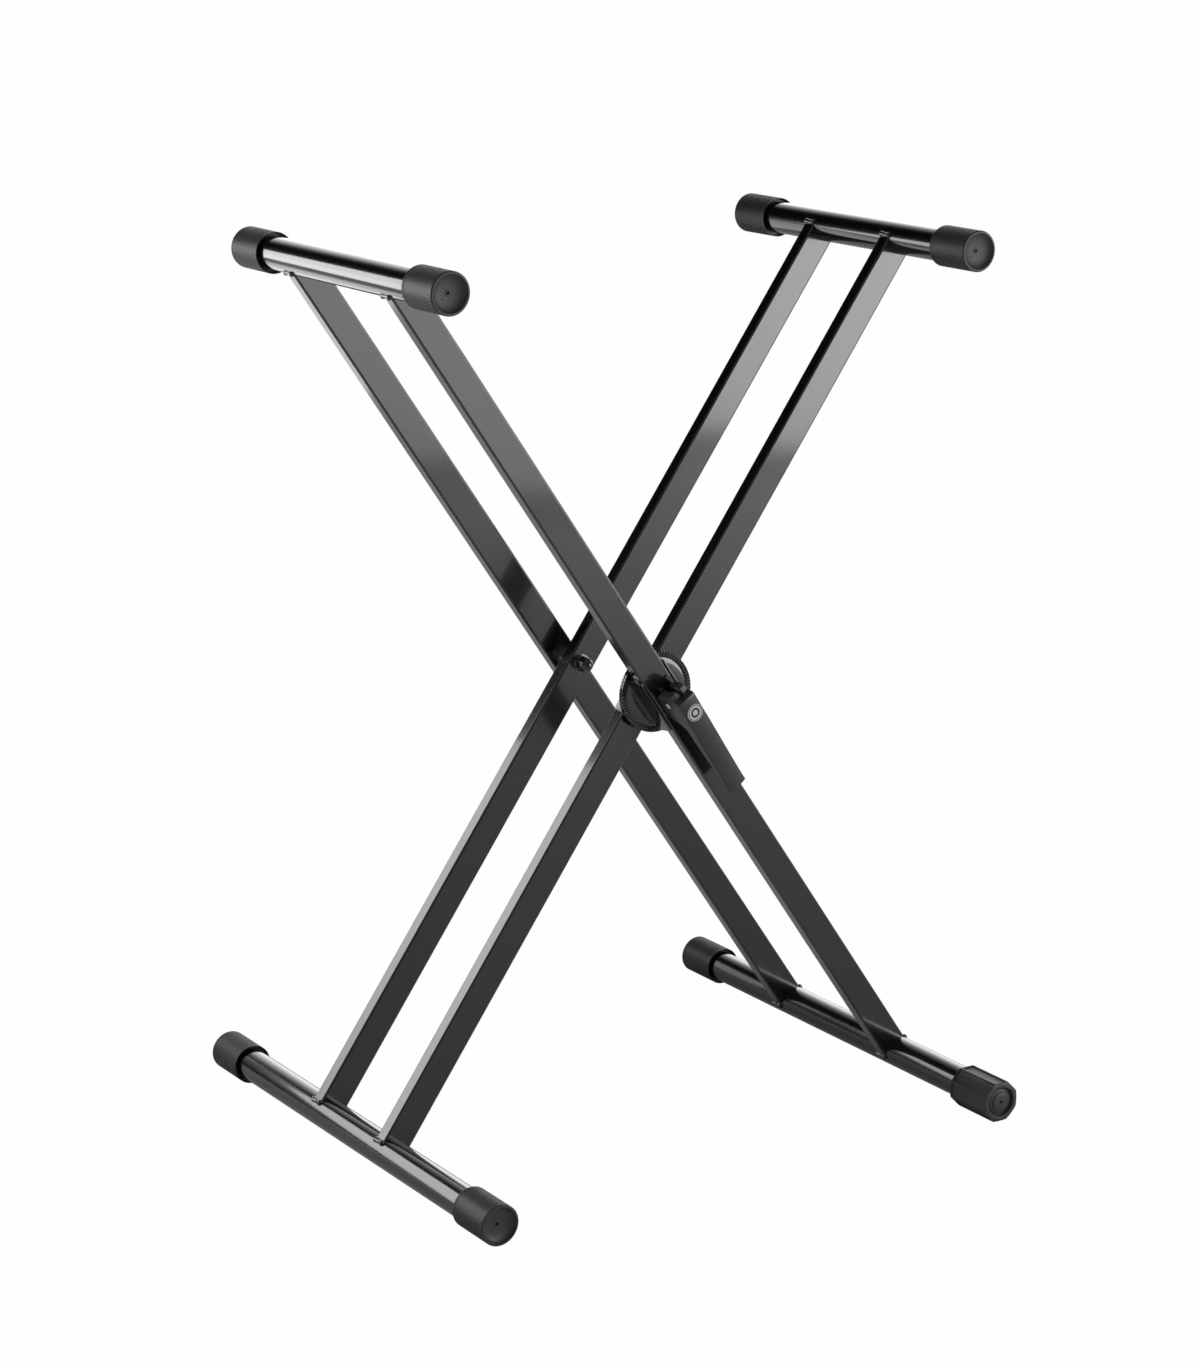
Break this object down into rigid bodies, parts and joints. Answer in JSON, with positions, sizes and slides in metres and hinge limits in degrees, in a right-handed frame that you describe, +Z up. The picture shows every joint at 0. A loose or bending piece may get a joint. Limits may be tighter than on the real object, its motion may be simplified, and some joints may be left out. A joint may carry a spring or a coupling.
{
  "type": "folding keyboard stand",
  "caption": "Folding double-X keyboard stand of black tubular steel with a toothed clutch, a release lever and rubber end caps.",
  "frame": {"origin": "middle of the footprint on the floor", "axes": "+Z up, Y along the pivot axis and the round tubes with the clutch on the -Y side, X across the X-shaped legs"},
  "size_m": [0.6258, 0.542, 0.8798],
  "materials": {
    "frame_paint": "semi-gloss black powder coat",
    "clutch_paint": "gloss black",
    "cap_rubber": "satin",
    "lever_plastic": "satin",
    "badge_face": "satin",
    "black_hardware": "gloss black",
    "bush_steel": "turned",
    "spring_steel": "drawn wire",
    "zinc_steel": "zinc plated"
  },
  "bodies": {
    "outer_frame": {"leg_outer_near": "frame_paint", "leg_outer_far": "frame_paint", "arm_tube_outer": "frame_paint", "foot_tube_outer": "frame_paint", "cap_arm_outer_near": "cap_rubber", "cap_arm_outer_far": "cap_rubber", "cap_foot_outer_far": "cap_rubber", "welds_arm_outer": "frame_paint", "welds_foot_outer": "frame_paint", "cam_plate": "black_hardware", "guide_bush_outer": "bush_steel", "clutch_spring": "spring_steel", "pivot_bolt_far": "zinc_steel", "pivot_washer_far_outer": "zinc_steel", "pivot_sleeve_far": "zinc_steel", "pivot_spacer_far": "zinc_steel", "pivot_washer_far_inner": "zinc_steel", "pivot_cap_nut_far": "black_hardware"},
    "inner_frame": {"leg_inner_near": "frame_paint", "leg_inner_far": "frame_paint", "arm_tube_inner": "frame_paint", "foot_tube_inner": "frame_paint", "cap_arm_inner_near": "cap_rubber", "cap_arm_inner_far": "cap_rubber", "cap_foot_inner_near": "cap_rubber", "cap_foot_inner_far": "cap_rubber", "welds_arm_inner": "frame_paint", "welds_foot_inner": "frame_paint", "clutch_half_inner": "clutch_paint", "guide_bush_inner": "bush_steel", "pivot_bush_far": "bush_steel"},
    "release_bolt": {"release_bolt": "zinc_steel", "clutch_half_outer": "clutch_paint", "retaining_washer": "zinc_steel", "retaining_nut": "zinc_steel", "cross_pin": "zinc_steel"},
    "release_lever": {"release_lever": "lever_plastic", "lever_badge": "badge_face"},
    "level_cap": {"levelling_cap": "cap_rubber"}
  },
  "joints": [
    {"name": "fold", "type": "hinge", "parent": "outer_frame", "child": "inner_frame", "pos_m": [0, 0, 0.43992], "axis": [0, 1, 0], "range_deg": [-64.5, 44]},
    {"name": "clutch_release", "type": "slide", "parent": "outer_frame", "child": "release_bolt", "axis": [0, -1, 0], "range_m": [0, 0.00377], "deforming": ["clutch_spring"]},
    {"name": "lever_swing", "type": "hinge", "parent": "release_bolt", "child": "release_lever", "pos_m": [0, -0.1135, 0.43992], "axis": [-0.8202, 0, -0.5721], "range_deg": [0, 80]},
    {"name": "level_cap_turn", "type": "hinge", "parent": "outer_frame", "child": "level_cap", "pos_m": [0.29294, -0.243, 0.02], "axis": [0, -1, 0], "continuous": true}
  ],
  "couplings": [
    {"joint": "clutch_release", "follows": "lever_swing", "m_per_rad": 0.0026929}
  ]
}
